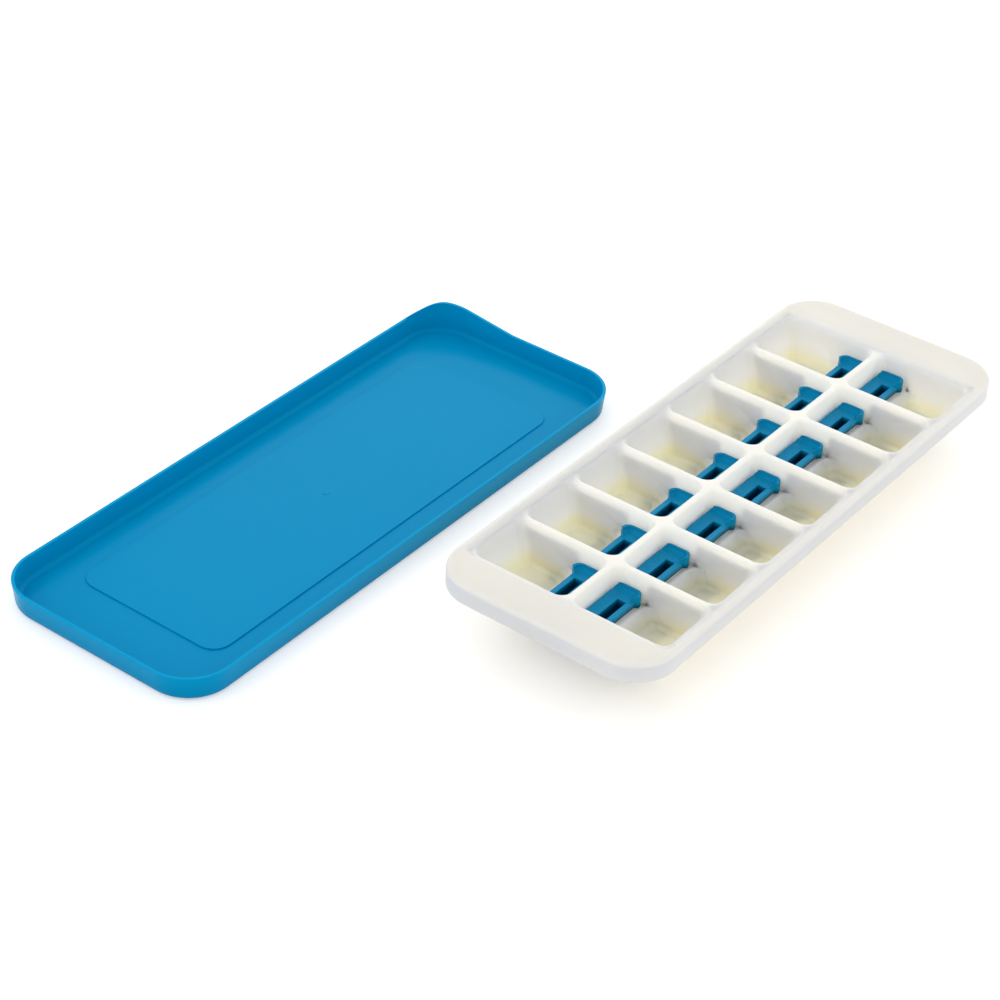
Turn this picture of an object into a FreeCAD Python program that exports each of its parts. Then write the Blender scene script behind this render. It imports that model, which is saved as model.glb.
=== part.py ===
import FreeCAD, Part
import math
import os
import Sketcher
from FreeCAD import Vector

# Lever ice cube tray with its lid, in millimetres, +Z up.
# The tray stands on the shelf and the lid lies beside it, open side up.
# The origin is on the shelf, at the centre of the footprint of tray and lid together.
# Inside the tray X runs across the two columns of cells and Y along the seven rows.

doc = FreeCAD.newDocument("lever_ice_tray")
sheet = doc.addObject("Spreadsheet::Sheet", "sizes")
size_row = 0


def size(alias, value, note):
    """Write one driving size into the sheet under its own name."""
    global size_row
    size_row = size_row + 1
    sheet.set("A%d" % size_row, note)
    sheet.set("B%d" % size_row, str(value))
    sheet.setAlias("B%d" % size_row, alias)


# Tray rim and skirt
size("tray_length", 330.0, "rim, end to end")
size("tray_width", 123.7, "rim, side to side")
size("tray_height", 42.0, "shelf to rim")
size("rim_corner", 22.4, "plan radius of the rim's corners")
size("rim_round", 2.0, "rounding of the rim's top outer edge")
size("skirt_height", 10.2, "outer skirt below the rim")
size("skirt_wall", 1.6, "skirt thickness")
size("deck_wall", 2.6, "thickness of the flat lands at the two ends")

# Grid of cells
size("rows", 7, "cells in one column")
size("cell_pitch", 40.2, "one row to the next")
size("cell_length", 36.5, "cell mouth along the tray")
size("cell_outer", 55.0, "tray centre to the outer side of a cell mouth")
size("rib_thick", 4.0, "long middle rib at its top")
size("wall_drop", 1.7, "tops of the walls between cells below the rim")
size("cell_depth", 24.0, "cell mouth to basin floor")
size("end_draft", 1.05, "lean of a cell's cross walls from mouth to floor")
size("outer_draft", 6.2, "lean of a cell's outer wall from mouth to floor")
size("rib_draft", 0.65, "lean of the rib's side from mouth to floor level")
size("cell_round", 5.2, "rounding of the basin's upright corners")
size("foot_slope", 2.6, "slope from the basin's sides to its floor")
size("rib_corner", 5.4, "rounding of the cell's corners beside the rib")
size("lip_slope", 1.3, "slope along the tops of the cell walls")
size("cup_wall", 1.6, "wall of the basin")
size("step_wall", 1.9, "wall of the step, measured across the tray")
size("cup_overlap", 0.3, "how far neighbouring basins run into each other's wall")
size("spine_overlap", 0.6, "how far the shelf slab runs short of its edge and past the cells")
size("cup_chamfer", 3.2, "slope round the outside of the basin's floor")
size("ledge", 0.1, "flat left between a cell's rounding and the slope round the cells")
size("recess_slope_x", 3.0, "width of the slope from rim down to the cells, long sides")
size("recess_slope_y", 4.2, "width of the slope from end land down to the cells")

# Shelf that each lever lies on, beside the rib
size("shelf_depth", 15.3, "cell mouth to lever shelf")
size("shelf_edge", 20.6, "tray centre to the shelf's outer edge")
size("shelf_lean", 5.0, "how far the step from shelf to basin floor leans outwards")
size("shelf_wall", 1.6, "shelf thickness")

# Window in the shelf and the soft ring round it
size("window_gap_side", 0.4, "window to lever shank, each side")
size("window_gap_front", 1.5, "window to lever shank, hinge end")
size("window_gap_back", 0.6, "window to lever shank, head end")
size("seal_inset", 0.2, "window edge to the ring's inner edge")
size("seal_width", 1.0, "band width of the soft ring")
size("seal_height", 0.7, "thickness of the soft ring")

# Lever, measured from the tray's centre line and from the middle of its cell
size("lever_inner", 3.2, "tray centre to the lever's edge beside the rib")
size("shank_inner", 8.9, "tray centre to the shank's side beside the rib")
size("stem_width", 14.5, "lever's stem across the tray")
size("head_width", 16.2, "lever's head across the tray")
size("head_back", 17.3, "cell middle to the back of the head")
size("ear_length", 4.4, "length of the head's ear along the tray")
size("nick_length", 1.6, "length of the nick where the head widens")
size("plate_thick", 3.4, "thickness of the lever's plate")
size("head_rise", 2.9, "head above the plate")
size("head_wall", 1.2, "thickness of the raised head at its top")
size("head_corner", 5.0, "rounding of the head's back corner beside the rib")
size("ear_corner", 4.2, "rounding of the head's back corner at the ear")
size("head_hollow", 2.1, "slope from the plate up into the head")
size("plate_front", 13.2, "cell middle to the plate's front end")
size("plate_nose", 3.0, "slope across the plate's front corner beside the rib")
size("shank_width", 7.0, "shank through the window, across the tray")
size("shank_front", 9.0, "cell middle to the shank's front")
size("shank_back", 11.7, "cell middle to the shank's back")
size("shank_drop", 7.7, "plate underside to shank bottom")
size("slot_width", 4.6, "open slot in the lever's top")
size("slot_front", 7.4, "cell middle to the slot's front end")
size("slot_back", 8.7, "cell middle to the slot's back end")
size("slot_floor", 1.2, "floor left under the slot")
size("neck_rise", 0.2, "top of the neck between barrel and shank above the hinge line")
size("web_front", 6.0, "cell middle to the web's front")
size("web_back", 8.0, "cell middle to the web's back")
size("web_thick", 2.0, "upright web from shank to thumb pad")
size("pad_width", 14.4, "thumb pad across the tray")
size("pad_front", 8.0, "cell middle to the pad's front")
size("pad_back", 9.5, "cell middle to the pad's back")
size("pad_thick", 1.8, "thumb pad thickness")
size("pad_height", 8.0, "shelf surface under the tray to the pad")
size("pad_corner", 2.2, "slope across the pad's corners")

# Hinge of each lever, in rails under the shelf
size("hinge_front", 14.5, "cell middle to the hinge line")
size("hinge_height", 21.3, "height of the hinge line")
size("pivot_radius", 1.45, "radius of the lever's stub shafts")
size("pivot_gap", 0.05, "running gap round the stub shafts")
size("barrel_radius", 1.85, "hinge line to the faces of the lever's hinge block")
size("rail_thick", 2.0, "thickness of a hinge rail")
size("rail_gap", 0.9, "lever shank to rail, each side")
size("rail_drop", 3.0, "hinge rail below the shelf")
size("pivot_short", 0.2, "stub shaft ends short of the rail's outer face")

# Two long runners under the cells
size("runner_place", 35.0, "tray centre to a runner's middle")
size("runner_thick", 2.0, "thickness of a runner")
size("runner_half", 118.0, "half length of a runner")
size("runner_bite", 0.8, "how far a runner runs up into the basin floors")
size("runner_corner", 3.0, "rounding of a runner's ends")

# Lid, lying upside down beside the tray
size("lid_gap_x", 3.6, "lid's open edge outside the tray's rim, each long side")
size("lid_gap_y", 3.05, "lid's open edge outside the tray's rim, each end")
size("lid_height", 13.4, "height of the lid")
size("lid_corner", 24.8, "plan radius of the lid's corners at its open edge")
size("lid_draft", 1.34, "lean of the lid's wall over its height")
size("lid_wall", 1.7, "lid wall thickness")
size("lid_top", 1.8, "thickness of the lid's flat")
size("lid_round", 3.0, "rounding round the lid's flat, outside")
size("lid_hollow", 2.6, "rounding round the lid's flat, inside")
size("panel_length", 262.0, "raised panel in the lid's flat, length")
size("panel_width", 90.0, "raised panel, width")
size("panel_step", 0.8, "height of the panel's step")
size("panel_corner", 10.0, "plan radius of the panel's corners")
size("tab_height", 5.9, "lifting tab above the lid's open edge")
size("tab_peak", 57.0, "lid middle to the highest point of the tab")
size("tab_end", 8.0, "lid middle to where the tab fades out")
size("tab_round", 14.0, "rounding of the tab's ridge")
size("lid_away_x", 171.7, "tray middle to lid middle, across")
size("lid_away_y", 107.7, "tray middle to lid middle, along")
doc.recompute()


def val(alias):
    """Read one size as a plain number."""
    return float(sheet.get(alias))


ROWS = int(round(val("rows")))
NEAR = 0.01
MOUTH_Z = "(sizes.tray_height - sizes.wall_drop)"
SHELF_Z = "(sizes.tray_height - sizes.wall_drop - sizes.shelf_depth)"
FLOOR_Z = "(sizes.tray_height - sizes.wall_drop - sizes.cell_depth)"
mouth_z = val("tray_height") - val("wall_drop")
shelf_z = mouth_z - val("shelf_depth")
floor_z = mouth_z - val("cell_depth")
PIVOT_LENGTH = "(sizes.shank_width + 2 * (sizes.rail_gap + sizes.rail_thick - sizes.pivot_short))"


def row_places():
    """Distance of each row's middle from the tray's middle, front to back."""
    first = -(ROWS - 1) / 2.0
    return [(first + step) * val("cell_pitch") for step in range(ROWS)]


# Helpers for sketches and features

def new_body(label):
    body = doc.addObject("PartDesign::Body", label)
    body.Label = label
    return body


def origin_plane(body, role):
    for feature in body.Origin.OriginFeatures:
        if feature.Role == role:
            return feature
    raise ValueError("no plane " + role)


def new_sketch(body, name, role, offset="0"):
    """A sketch on one of the body's own planes, moved along the plane's normal."""
    sketch = body.newObject("Sketcher::SketchObject", name)
    sketch.AttachmentSupport = [(origin_plane(body, role), "")]
    sketch.MapMode = "FlatFace"
    sketch.setExpression(".AttachmentOffset.Base.z", offset)
    return sketch


def polygon(sketch, corners):
    """Closed outline of straight lines; each corner is a pair of size expressions."""
    count = len(corners)
    start = len(sketch.Geometry)
    for index in range(count):
        turn = 2.0 * math.pi * index / count
        after = 2.0 * math.pi * (index + 1) / count
        here = Vector(10.0 * math.cos(turn), 10.0 * math.sin(turn), 0)
        there = Vector(10.0 * math.cos(after), 10.0 * math.sin(after), 0)
        sketch.addGeometry(Part.LineSegment(here, there), False)
    for index in range(count):
        line = start + index
        following = start + (index + 1) % count
        sketch.addConstraint(Sketcher.Constraint("Coincident", line, 2, following, 1))
    for index in range(count):
        line = start + index
        across, along = corners[index]
        for kind, text in (("DistanceX", across), ("DistanceY", along)):
            number = sketch.addConstraint(Sketcher.Constraint(kind, -1, 1, line, 1, 1.0))
            sketch.setExpression("Constraints[%d]" % number, text)


def rectangle(sketch, left, right, front, back):
    polygon(sketch, [(left, front), (right, front), (right, back), (left, back)])


def rounded_outline(sketch, half_x, half_y, corner):
    """Rectangle about the middle with arcs at its corners; all three are expressions."""
    reach_x = 60.0
    reach_y = 160.0
    turn = 20.0
    corners = [(1, -1, -90.0), (1, 1, 0.0), (-1, 1, 90.0), (-1, -1, 180.0)]
    spots = [(reach_x - turn, -reach_y), (reach_x, reach_y - turn),
             (turn - reach_x, reach_y), (-reach_x, turn - reach_y)]
    starts = [(turn - reach_x, -reach_y), (reach_x, turn - reach_y),
              (reach_x - turn, reach_y), (-reach_x, reach_y - turn)]
    first = len(sketch.Geometry)
    for start, stop in zip(starts, spots):
        sketch.addGeometry(Part.LineSegment(Vector(*start, 0), Vector(*stop, 0)), False)
    for side_x, side_y, angle in corners:
        centre = Vector(side_x * (reach_x - turn), side_y * (reach_y - turn), 0)
        full = Part.Circle(centre, Vector(0, 0, 1), turn)
        arc = Part.ArcOfCircle(full, math.radians(angle), math.radians(angle + 90.0))
        sketch.addGeometry(arc, False)
    for index in range(4):
        line = first + index
        arc = first + 4 + index
        following = first + (index + 1) % 4
        sketch.addConstraint(Sketcher.Constraint("Tangent", line, 2, arc, 1))
        sketch.addConstraint(Sketcher.Constraint("Tangent", arc, 2, following, 1))
        level = "Horizontal" if index % 2 == 0 else "Vertical"
        sketch.addConstraint(Sketcher.Constraint(level, line))
    for index in range(1, 4):
        sketch.addConstraint(Sketcher.Constraint("Equal", first + 4, first + 4 + index))
    number = sketch.addConstraint(Sketcher.Constraint("Radius", first + 4, turn))
    sketch.setExpression("Constraints[%d]" % number, corner)
    places = [("DistanceY", 0, "-" + half_y, -reach_y), ("DistanceX", 1, half_x, reach_x),
              ("DistanceY", 2, half_y, reach_y), ("DistanceX", 3, "-" + half_x, -reach_x)]
    for kind, index, text, now in places:
        number = sketch.addConstraint(Sketcher.Constraint(kind, -1, 1, first + index, 1, now))
        sketch.setExpression("Constraints[%d]" % number, text)


def circle(sketch, across, along, radius):
    """Two half circles about one middle; all three values are expressions."""
    first = len(sketch.Geometry)
    for start in (-math.pi / 2, math.pi / 2):
        full = Part.Circle(Vector(1, 1, 0), Vector(0, 0, 1), 1.0)
        sketch.addGeometry(Part.ArcOfCircle(full, start, start + math.pi), False)
    other = first + 1
    sketch.addConstraint(Sketcher.Constraint("Coincident", first, 3, other, 3))
    sketch.addConstraint(Sketcher.Constraint("Coincident", first, 2, other, 1))
    for line, spot in ((first, 1), (first, 2), (other, 2)):
        sketch.addConstraint(Sketcher.Constraint("Vertical", line, spot, line, 3))
    for kind, text in (("DistanceX", across), ("DistanceY", along)):
        place = sketch.addConstraint(Sketcher.Constraint(kind, -1, 1, first, 3, 1.0))
        sketch.setExpression("Constraints[%d]" % place, text)
    place = sketch.addConstraint(Sketcher.Constraint("Radius", first, 1.0))
    sketch.setExpression("Constraints[%d]" % place, radius)


def pad(body, sketch, name, length, reverse=False, midplane=False):
    feature = body.newObject("PartDesign::Pad", name)
    feature.Profile = sketch
    feature.Reversed = reverse
    feature.Midplane = midplane
    feature.setExpression("Length", length)
    doc.recompute()
    return feature


def pocket(body, sketch, name, length, reverse=False, midplane=False):
    feature = body.newObject("PartDesign::Pocket", name)
    feature.Profile = sketch
    feature.Reversed = reverse
    feature.Midplane = midplane
    feature.setExpression("Length", length)
    doc.recompute()
    return feature


def loft(body, kind, name, first, second):
    feature = body.newObject("PartDesign::" + kind, name)
    feature.Profile = first
    feature.Sections = [second]
    feature.Ruled = True
    doc.recompute()
    return feature


def drafted_block(body, name, low, high):
    """Block with leaning sides: low and high are (z, left, right, half length)."""
    block = body.newObject("PartDesign::AdditiveWedge", name)
    block.AttachmentSupport = [(origin_plane(body, "XZ_Plane"), "")]
    block.MapMode = "FlatFace"
    bounds = {"Ymin": low[0], "Xmin": low[1], "Xmax": low[2], "Zmin": "-" + low[3], "Zmax": low[3],
              "Ymax": high[0], "X2min": high[1], "X2max": high[2],
              "Z2min": "-" + high[3], "Z2max": high[3]}
    for bound, text in bounds.items():
        block.setExpression(bound, text)
    doc.recompute()
    return block


def picked_edges(shape, picks):
    return ["Edge%d" % (index + 1) for index, edge in enumerate(shape.Edges) if picks(edge)]


def fillet(body, name, radius, picks):
    """Round every edge of the body's last feature that the test picks."""
    base = body.Tip
    feature = body.newObject("PartDesign::Fillet", name)
    feature.Base = (base, picked_edges(base.Shape, picks))
    feature.setExpression("Radius", radius)
    doc.recompute()
    return feature


def chamfer(body, name, length, picks):
    """Break every edge of the body's last feature that the test picks."""
    base = body.Tip
    feature = body.newObject("PartDesign::Chamfer", name)
    feature.Base = (base, picked_edges(base.Shape, picks))
    feature.setExpression("Size", length)
    doc.recompute()
    return feature


def middle(edge):
    first, last = edge.ParameterRange
    return edge.valueAt((first + last) / 2.0)


def ends(edge):
    return [vertex.Point for vertex in edge.Vertexes]


def is_level(edge, height, reach=NEAR):
    """True for an edge that lies wholly at one height."""
    points = ends(edge) + [middle(edge)]
    return all(abs(point.z - height) < reach for point in points)


def is_steep(edge):
    """True for a straight edge that climbs more than it travels."""
    if len(edge.Vertexes) < 2:
        return False
    low, high = ends(edge)
    rise = abs(high.z - low.z)
    travel = math.hypot(high.x - low.x, high.y - low.y)
    return rise > travel and rise > 0.5


def linked(source, label, across, along, half_turn=False):
    """Another copy of a tool shape, set down in the tray."""
    copy = doc.addObject("App::Link", label)
    copy.LinkedObject = source
    turn = FreeCAD.Rotation(Vector(0, 0, 1), 180.0 if half_turn else 0.0)
    copy.Placement = FreeCAD.Placement(Vector(across, along, 0), turn)
    return copy


# Where tray and lid stand, so that the origin is the centre of the whole footprint
lid_half_x = val("tray_width") / 2 + val("lid_gap_x")
lid_half_y = val("tray_length") / 2 + val("lid_gap_y")
tray_x = (val("lid_away_x") + lid_half_x - val("tray_width") / 2) / 2
tray_y = (val("lid_away_y") + lid_half_y - val("tray_length") / 2) / 2
tray_place = Vector(tray_x, tray_y, 0)
lid_place = Vector(tray_x - val("lid_away_x"), tray_y - val("lid_away_y"), 0)


# Rim: a shallow upside-down pan with rounded corners
def make_rim():
    body = new_body("rim")
    foot_z = "sizes.tray_height - sizes.skirt_height"
    outline = new_sketch(body, "rim_outline", "XY_Plane", foot_z)
    rounded_outline(outline, "(sizes.tray_width / 2)", "(sizes.tray_length / 2)", "sizes.rim_corner")
    pad(body, outline, "rim_block", "sizes.skirt_height")
    height = val("tray_height")
    fillet(body, "rim_edge", "sizes.rim_round", lambda edge: is_level(edge, height))
    hollow = new_sketch(body, "rim_hollow", "XY_Plane", foot_z)
    inner_x = "(sizes.tray_width / 2 - sizes.skirt_wall)"
    inner_y = "(sizes.tray_length / 2 - sizes.skirt_wall)"
    inner_corner = "sizes.rim_corner - sizes.skirt_wall"
    rounded_outline(hollow, inner_x, inner_y, inner_corner)
    before = body.Tip.Shape.Volume
    pocket(body, hollow, "rim_inside", "sizes.skirt_height - sizes.deck_wall", reverse=True)
    print("rim hollowed by", round(before - body.Tip.Shape.Volume), "mm3")
    return body


# Slope from the rim down to the tops of the cell walls, as the space above it
def make_recess():
    body = new_body("recess_space")
    low_x = "(sizes.cell_outer + sizes.lip_slope + sizes.ledge)"
    low_y = "(sizes.cell_pitch * (sizes.rows - 1) / 2 + sizes.cell_length / 2"
    low_y = low_y + " + sizes.lip_slope + sizes.ledge)"
    corner = "(sizes.cell_round + sizes.lip_slope + sizes.ledge)"
    floor = new_sketch(body, "recess_floor", "XY_Plane", MOUTH_Z)
    rounded_outline(floor, low_x, low_y, corner)
    high_x = "(" + low_x + " + sizes.recess_slope_x)"
    high_y = "(" + low_y + " + sizes.recess_slope_y)"
    brim = new_sketch(body, "recess_brim", "XY_Plane", "sizes.tray_height")
    rounded_outline(brim, high_x, high_y, corner)
    loft(body, "AdditiveLoft", "recess_block", floor, brim)
    pad(body, brim, "recess_air", "2 * sizes.wall_drop")
    return body


# Inside of one cell: a drafted basin with the lever's shelf beside the rib
def make_cell_space():
    body = new_body("cell_space")
    inner = "(sizes.rib_thick / 2)"
    outer = "sizes.cell_outer"
    half = "(sizes.cell_length / 2)"
    low_inner = "(sizes.rib_thick / 2 + sizes.rib_draft)"
    low_outer = "(sizes.cell_outer - sizes.outer_draft)"
    low_half = "(sizes.cell_length / 2 - sizes.end_draft)"
    low = (FLOOR_Z, low_inner, low_outer, low_half)
    drafted_block(body, "cell_block", low, (MOUTH_Z, inner, outer, half))
    step = new_sketch(body, "shelf_outline", "XZ_Plane")
    drop = "(sizes.cell_depth - sizes.shelf_depth)"
    under = "(" + FLOOR_Z + " - " + drop + ")"
    edge_x = "sizes.shelf_edge"
    foot_x = "(sizes.shelf_edge + 2 * sizes.shelf_lean)"
    polygon(step, [("0", SHELF_Z), (edge_x, SHELF_Z), (foot_x, under), ("0", under)])
    before = body.Tip.Shape.Volume
    pocket(body, step, "shelf_cut", "2 * sizes.cell_length", midplane=True)
    print("shelf takes", round(before - body.Tip.Shape.Volume), "mm3 of the cell")
    rib_x = val("rib_thick") / 2 + val("rib_draft")

    fillet(body, "basin_corners", "sizes.cell_round",
           lambda edge: is_steep(edge) and middle(edge).x > 2 * rib_x)
    fillet(body, "rib_corners", "sizes.rib_corner",
           lambda edge: is_steep(edge) and middle(edge).x < rib_x)
    chamfer(body, "basin_foot", "sizes.foot_slope", lambda edge: is_level(edge, floor_z))
    margin = "(sizes.lip_slope + sizes.ledge)"
    air = new_sketch(body, "air_outline", "XY_Plane", MOUTH_Z)
    rectangle(air, inner + " - " + margin, outer + " + " + margin,
              "-(sizes.cell_length / 2 + " + margin + ")", half + " + " + margin)
    pad(body, air, "air_over_walls", "2 * sizes.wall_drop")

    def lip(edge):
        point = middle(edge)
        in_x = val("rib_thick") / 2 - 0.1 < point.x < val("cell_outer") + 0.1
        in_y = abs(point.y) < val("cell_length") / 2 + 0.1
        return is_level(edge, mouth_z) and in_x and in_y
    chamfer(body, "lip_sloping", "sizes.lip_slope", lip)
    return body


# Outside of one basin, which shows under the tray as its own cup
def make_basin_cup():
    body = new_body("basin_cup")
    half = "(sizes.cell_pitch / 2 + sizes.cup_overlap)"
    lean = "sizes.shelf_lean / (sizes.cell_depth - sizes.shelf_depth)"
    inner = "(sizes.shelf_edge - sizes.step_wall - sizes.shelf_depth * " + lean + ")"
    outer = "(sizes.cell_outer + sizes.cup_wall)"
    low_half = "(sizes.cell_length / 2 - sizes.end_draft + sizes.cup_wall)"
    low_inner = "(sizes.shelf_edge + sizes.shelf_lean - sizes.step_wall + sizes.cup_wall * " + lean + ")"
    low_outer = "(sizes.cell_outer - sizes.outer_draft + sizes.cup_wall)"
    low = ("(" + FLOOR_Z + " - sizes.cup_wall)", low_inner, low_outer, low_half)
    drafted_block(body, "cup_block", low, (MOUTH_Z, inner, outer, half))
    chamfer(body, "cup_corners", "sizes.cup_chamfer", is_steep)
    foot_z = floor_z - val("cup_wall")
    chamfer(body, "cup_foot", "sizes.cup_chamfer", lambda edge: is_level(edge, foot_z))
    return body


# Long middle part: shelf slab with four hinge rails under it, windows and hinge seats
def make_spine():
    body = new_body("spine")
    profile = new_sketch(body, "spine_profile", "XZ_Plane")
    under = "(" + SHELF_Z + " - sizes.shelf_wall)"
    rail_low = "(" + under + " - sizes.rail_drop)"
    near_out = "(sizes.shank_inner - sizes.rail_gap)"
    near_in = "(" + near_out + " - sizes.rail_thick)"
    far_in = "(sizes.shank_inner + sizes.shank_width + sizes.rail_gap)"
    far_out = "(" + far_in + " + sizes.rail_thick)"
    side = "(sizes.shelf_edge - sizes.spine_overlap)"
    right = [(near_in, under), (near_in, rail_low), (near_out, rail_low), (near_out, under),
             (far_in, under), (far_in, rail_low), (far_out, rail_low), (far_out, under),
             (side, under), (side, MOUTH_Z)]
    left = [("-" + across, height) for across, height in reversed(right)]
    polygon(profile, right + left)
    span = "(sizes.cell_pitch * sizes.rows + sizes.spine_overlap)"
    pad(body, profile, "spine_block", span, midplane=True)
    seats = new_sketch(body, "hinge_seats", "YZ_Plane")
    for place in range(ROWS):
        row = "((%d - (sizes.rows - 1) / 2) * sizes.cell_pitch - sizes.hinge_front)" % place
        circle(seats, row, "sizes.hinge_height", "sizes.pivot_radius + sizes.pivot_gap")
    before = body.Tip.Shape.Volume
    pocket(body, seats, "hinge_seat_cut", "4 * sizes.shelf_edge", midplane=True)
    print("hinge seats cut", round(before - body.Tip.Shape.Volume), "mm3")
    windows = new_sketch(body, "windows", "XY_Plane", SHELF_Z)
    near = "(sizes.shank_inner - sizes.window_gap_side)"
    far = "(sizes.shank_inner + sizes.shank_width + sizes.window_gap_side)"
    for place in range(ROWS):
        row = "((%d - (sizes.rows - 1) / 2) * sizes.cell_pitch)" % place
        front = "(" + row + " - sizes.shank_front - sizes.window_gap_front)"
        back = "(" + row + " + sizes.shank_back + sizes.window_gap_back)"
        rectangle(windows, near, far, front, back)
        rectangle(windows, "-" + far, "-" + near, front, back)
    before = body.Tip.Shape.Volume
    pocket(body, windows, "window_cut", "2 * sizes.shelf_wall")
    print("windows cut", round(before - body.Tip.Shape.Volume), "mm3")
    return body


# Runner: one long upright foot, rounded at its ends
def make_runner():
    body = new_body("runner")
    outline = new_sketch(body, "runner_outline", "YZ_Plane")
    top = "(" + FLOOR_Z + " - sizes.cup_wall + sizes.runner_bite)"
    rectangle(outline, "-sizes.runner_half", "sizes.runner_half", "0", top)
    pad(body, outline, "runner_plate", "sizes.runner_thick", midplane=True)
    fillet(body, "runner_ends", "sizes.runner_corner",
           lambda edge: is_level(edge, 0) and abs(middle(edge).x) < NEAR)
    return body


# Tray: everything solid fused together, then the space of slope and cells taken out
def make_tray():
    rim = make_rim()
    spine = make_spine()
    cup = make_basin_cup()
    runner = make_runner()
    recess = make_recess()
    cell = make_cell_space()
    solids = [rim, spine]
    spaces = [recess]
    for place, along in enumerate(row_places()):
        for half_turn in (False, True):
            side = "left" if half_turn else "right"
            name = "%s_%d" % (side, place + 1)
            solids.append(linked(cup, "cup_" + name, 0, along, half_turn))
            spaces.append(linked(cell, "cell_" + name, 0, along, half_turn))
    for side in (-1, 1):
        solids.append(linked(runner, "runner_at_%d" % side, side * val("runner_place"), 0))
    block = doc.addObject("Part::MultiFuse", "tray_block")
    block.Shapes = solids
    hollows = doc.addObject("Part::MultiFuse", "tray_hollows")
    hollows.Shapes = spaces
    tray = doc.addObject("Part::Cut", "tray")
    tray.Base = block
    tray.Tool = hollows
    tray.Label = "tray"
    doc.recompute()
    tray.Placement = FreeCAD.Placement(tray_place, FreeCAD.Rotation())
    return tray


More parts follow.
